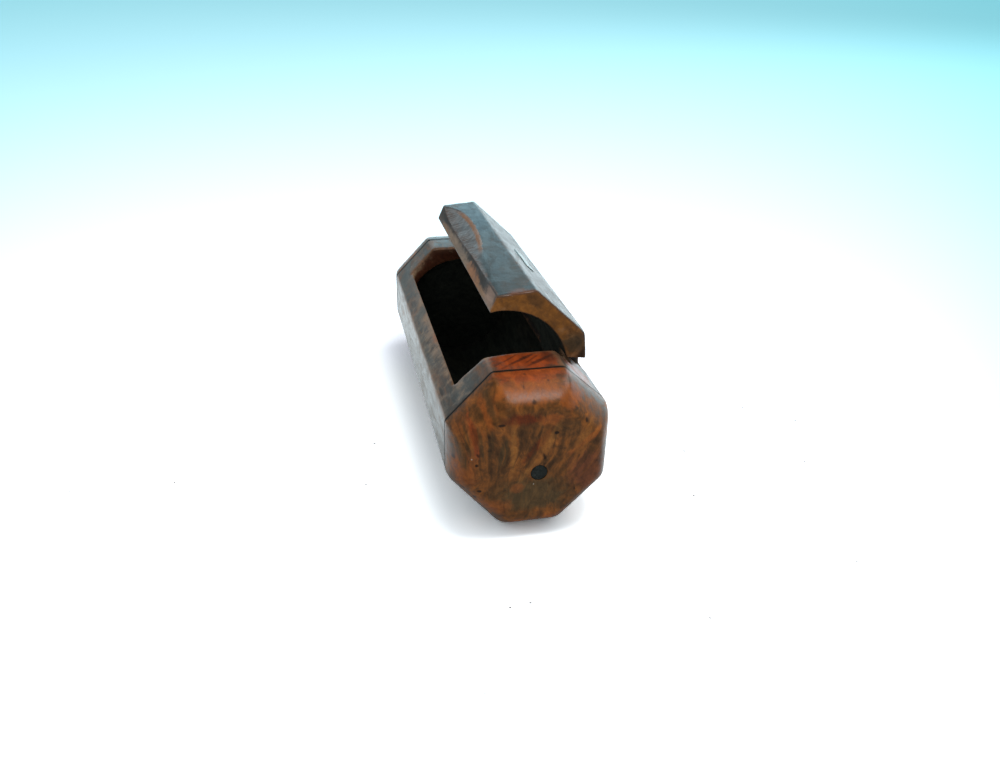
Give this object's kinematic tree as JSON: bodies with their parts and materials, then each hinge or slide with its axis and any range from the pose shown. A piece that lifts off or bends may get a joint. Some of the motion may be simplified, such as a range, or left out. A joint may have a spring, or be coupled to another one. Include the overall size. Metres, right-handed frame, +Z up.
{
  "type": "antique snuff box",
  "caption": "Octagonal burr-wood table snuff box with a hinged lid cut from the same block, carved wooden hinge and glued end caps.",
  "frame": {"origin": "centre of the box's flat underside", "axes": "+Y along the box towards the far end, +X towards the hinge side, +Z up; the front, thumb side faces -X"},
  "size_m": [0.034, 0.1068, 0.0472],
  "materials": {
    "burr_wood": "polished burr wood",
    "lid_wood": "polished dark burr wood",
    "cap_wood": "polished burr wood with streaks and knots",
    "tablet_metal": "worn white metal",
    "pin_brass": "dull wire",
    "dark_stringing": "ebonised line",
    "dark_plug": "dark turned plug"
  },
  "bodies": {
    "box": {"box_body": "burr_wood", "near_end_cap": "cap_wood", "far_end_cap": "cap_wood", "near_stringing": "dark_stringing", "far_stringing": "dark_stringing", "near_cap_plug": "dark_plug", "far_cap_plug": "dark_plug", "hinge_pin": "pin_brass"},
    "lid": {"lid": "lid_wood", "lid_tablet": "tablet_metal"}
  },
  "joints": [
    {"name": "lid_hinge", "type": "hinge", "parent": "box", "child": "lid", "pos_m": [0.01443, 0, 0.02647], "axis": [0, 1, 0], "range_deg": [-43, 57]}
  ]
}
